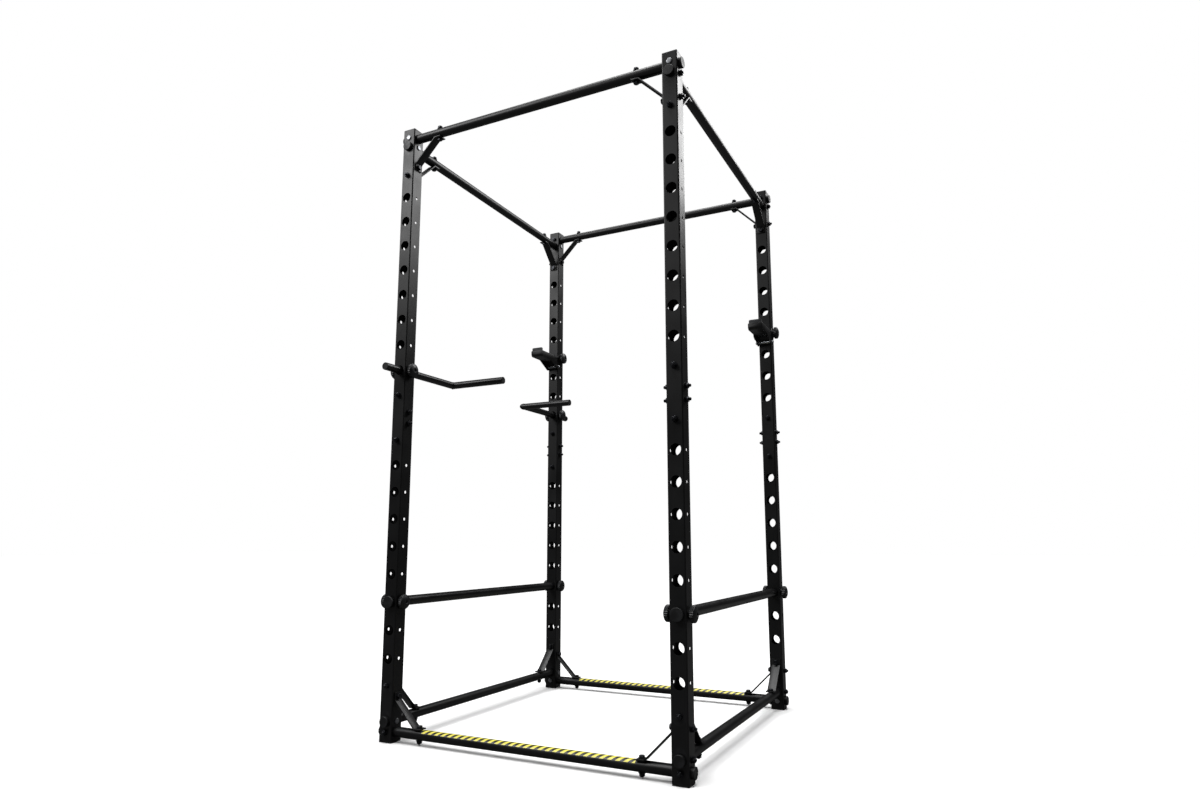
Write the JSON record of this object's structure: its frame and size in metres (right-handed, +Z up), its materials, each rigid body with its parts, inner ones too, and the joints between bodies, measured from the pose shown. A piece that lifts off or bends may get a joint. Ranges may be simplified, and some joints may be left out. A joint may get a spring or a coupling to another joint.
{
  "type": "power cage",
  "caption": "Four-post squat cage of drilled square posts and round cross tubes, with safety bars, dip bars, barbell holders and hand knobs.",
  "frame": {"origin": "bottom centre of the cage, on the floor between the four posts", "axes": "+X to the user's right along the width, +Y from front to back, +Z up"},
  "size_m": [1.1566, 1.304, 2.2],
  "materials": {
    "powder_coat": "satin black powder coat",
    "zinc_steel": "bright zinc plating",
    "black_fasteners": "black zinc plating, slightly glossy",
    "cap_plastic": "moulded black polyethylene",
    "knob_plastic": "moulded black nylon, fine grain",
    "liner_plastic": "moulded dark nylon",
    "hazard_tape": "yellow and black striped vinyl tape"
  },
  "bodies": {
    "frame": {"post_lower_front_left": "powder_coat", "post_lower_front_right": "powder_coat", "post_lower_back_left": "powder_coat", "post_lower_back_right": "powder_coat", "post_upper_front_left": "powder_coat", "post_upper_front_right": "powder_coat", "post_upper_back_left": "powder_coat", "post_upper_back_right": "powder_coat", "top_tube_front": "powder_coat", "top_tube_back": "powder_coat", "top_tube_left": "powder_coat", "top_tube_right": "powder_coat", "bottom_tube_front": "powder_coat", "bottom_tube_back": "powder_coat", "bottom_tube_left": "powder_coat", "bottom_tube_right": "powder_coat", "braces_top_width": "powder_coat", "braces_top_depth": "powder_coat", "braces_bottom_width": "powder_coat", "braces_bottom_depth": "powder_coat", "post_joint_sleeves": "zinc_steel", "tube_end_caps": "cap_plastic", "post_end_caps": "cap_plastic", "brace_post_bolts": "black_fasteners", "brace_tube_bolts": "black_fasteners", "joint_studs": "black_fasteners", "nuts": "black_fasteners", "washers": "black_fasteners", "lock_bolts": "zinc_steel", "hazard_tapes": "hazard_tape"},
    "safety_left": {"safety_bar_left": "powder_coat", "safety_bar_caps_left": "cap_plastic"},
    "safety_right": {"safety_bar_right": "powder_coat", "safety_bar_caps_right": "cap_plastic"},
    "dip_front": {"dip_bar_front": "powder_coat", "dip_bar_plugs_front": "cap_plastic"},
    "dip_back": {"dip_bar_back": "powder_coat", "dip_bar_plugs_back": "cap_plastic"},
    "cup_left": {"cup_bracket_left": "powder_coat", "cup_liner_left": "liner_plastic", "cup_rod_left": "zinc_steel"},
    "cup_right": {"cup_bracket_right": "powder_coat", "cup_liner_right": "liner_plastic", "cup_rod_right": "zinc_steel"},
    "knob_safety_front_left_outer": {"knob_safety_front_left_outer": "knob_plastic"},
    "knob_safety_front_left_inner": {"knob_safety_front_left_inner": "knob_plastic"},
    "knob_safety_front_right_outer": {"knob_safety_front_right_outer": "knob_plastic"},
    "knob_safety_front_right_inner": {"knob_safety_front_right_inner": "knob_plastic"},
    "knob_safety_back_left_outer": {"knob_safety_back_left_outer": "knob_plastic"},
    "knob_safety_back_left_inner": {"knob_safety_back_left_inner": "knob_plastic"},
    "knob_safety_back_right_outer": {"knob_safety_back_right_outer": "knob_plastic"},
    "knob_safety_back_right_inner": {"knob_safety_back_right_inner": "knob_plastic"},
    "knob_dip_front_outer": {"knob_dip_front_outer": "knob_plastic"},
    "knob_dip_front_inner": {"knob_dip_front_inner": "knob_plastic"},
    "knob_dip_back_outer": {"knob_dip_back_outer": "knob_plastic"},
    "knob_dip_back_inner": {"knob_dip_back_inner": "knob_plastic"},
    "knob_cup_left_outer": {"knob_cup_left_outer": "knob_plastic"},
    "knob_cup_left_inner": {"knob_cup_left_inner": "knob_plastic"},
    "knob_cup_right_outer": {"knob_cup_right_outer": "knob_plastic"},
    "knob_cup_right_inner": {"knob_cup_right_inner": "knob_plastic"}
  },
  "joints": [
    {"name": "safety_left_slide", "type": "slide", "parent": "frame", "child": "safety_left", "axis": [0, -1, 0], "range_m": [0, 1.1]},
    {"name": "safety_right_slide", "type": "slide", "parent": "frame", "child": "safety_right", "axis": [0, -1, 0], "range_m": [0, 1.1]},
    {"name": "dip_front_swivel", "type": "hinge", "parent": "frame", "child": "dip_front", "pos_m": [-0.524, -0.55, 1.271], "axis": [0, -1, 0], "continuous": true},
    {"name": "dip_back_swivel", "type": "hinge", "parent": "frame", "child": "dip_back", "pos_m": [-0.524, 0.55, 1.271], "axis": [0, -1, 0], "continuous": true},
    {"name": "cup_left_tilt", "type": "hinge", "parent": "frame", "child": "cup_left", "pos_m": [-0.524, 0.55, 1.553], "axis": [-1, 0, 0], "range_deg": [0, 40]},
    {"name": "cup_right_tilt", "type": "hinge", "parent": "frame", "child": "cup_right", "pos_m": [0.524, 0.55, 1.553], "axis": [-1, 0, 0], "range_deg": [0, 40]},
    {"name": "knob_safety_front_left_outer_turn", "type": "hinge", "parent": "frame", "child": "knob_safety_front_left_outer", "pos_m": [-0.524, -0.55, 0.459], "axis": [-1, 0, 0], "range_deg": [0, 1080]},
    {"name": "knob_safety_front_left_inner_turn", "type": "hinge", "parent": "frame", "child": "knob_safety_front_left_inner", "pos_m": [-0.524, -0.55, 0.459], "axis": [1, 0, 0], "range_deg": [0, 1080]},
    {"name": "knob_safety_front_right_outer_turn", "type": "hinge", "parent": "frame", "child": "knob_safety_front_right_outer", "pos_m": [0.524, -0.55, 0.459], "axis": [1, 0, 0], "range_deg": [0, 1080]},
    {"name": "knob_safety_front_right_inner_turn", "type": "hinge", "parent": "frame", "child": "knob_safety_front_right_inner", "pos_m": [0.524, -0.55, 0.459], "axis": [-1, 0, 0], "range_deg": [0, 1080]},
    {"name": "knob_safety_back_left_outer_turn", "type": "hinge", "parent": "frame", "child": "knob_safety_back_left_outer", "pos_m": [-0.524, 0.55, 0.459], "axis": [-1, 0, 0], "range_deg": [0, 1080]},
    {"name": "knob_safety_back_left_inner_turn", "type": "hinge", "parent": "frame", "child": "knob_safety_back_left_inner", "pos_m": [-0.524, 0.55, 0.459], "axis": [1, 0, 0], "range_deg": [0, 1080]},
    {"name": "knob_safety_back_right_outer_turn", "type": "hinge", "parent": "frame", "child": "knob_safety_back_right_outer", "pos_m": [0.524, 0.55, 0.459], "axis": [1, 0, 0], "range_deg": [0, 1080]},
    {"name": "knob_safety_back_right_inner_turn", "type": "hinge", "parent": "frame", "child": "knob_safety_back_right_inner", "pos_m": [0.524, 0.55, 0.459], "axis": [-1, 0, 0], "range_deg": [0, 1080]},
    {"name": "knob_dip_front_outer_turn", "type": "hinge", "parent": "frame", "child": "knob_dip_front_outer", "pos_m": [-0.524, -0.55, 1.271], "axis": [-1, 0, 0], "range_deg": [0, 1080]},
    {"name": "knob_dip_front_inner_turn", "type": "hinge", "parent": "frame", "child": "knob_dip_front_inner", "pos_m": [-0.524, -0.55, 1.271], "axis": [1, 0, 0], "range_deg": [0, 1080]},
    {"name": "knob_dip_back_outer_turn", "type": "hinge", "parent": "frame", "child": "knob_dip_back_outer", "pos_m": [-0.524, 0.55, 1.271], "axis": [-1, 0, 0], "range_deg": [0, 1080]},
    {"name": "knob_dip_back_inner_turn", "type": "hinge", "parent": "frame", "child": "knob_dip_back_inner", "pos_m": [-0.524, 0.55, 1.271], "axis": [1, 0, 0], "range_deg": [0, 1080]},
    {"name": "knob_cup_left_outer_turn", "type": "hinge", "parent": "frame", "child": "knob_cup_left_outer", "pos_m": [-0.524, 0.55, 1.553], "axis": [-1, 0, 0], "range_deg": [0, 1080]},
    {"name": "knob_cup_left_inner_turn", "type": "hinge", "parent": "frame", "child": "knob_cup_left_inner", "pos_m": [-0.524, 0.55, 1.553], "axis": [1, 0, 0], "range_deg": [0, 1080]},
    {"name": "knob_cup_right_outer_turn", "type": "hinge", "parent": "frame", "child": "knob_cup_right_outer", "pos_m": [0.524, 0.55, 1.553], "axis": [1, 0, 0], "range_deg": [0, 1080]},
    {"name": "knob_cup_right_inner_turn", "type": "hinge", "parent": "frame", "child": "knob_cup_right_inner", "pos_m": [0.524, 0.55, 1.553], "axis": [-1, 0, 0], "range_deg": [0, 1080]}
  ]
}
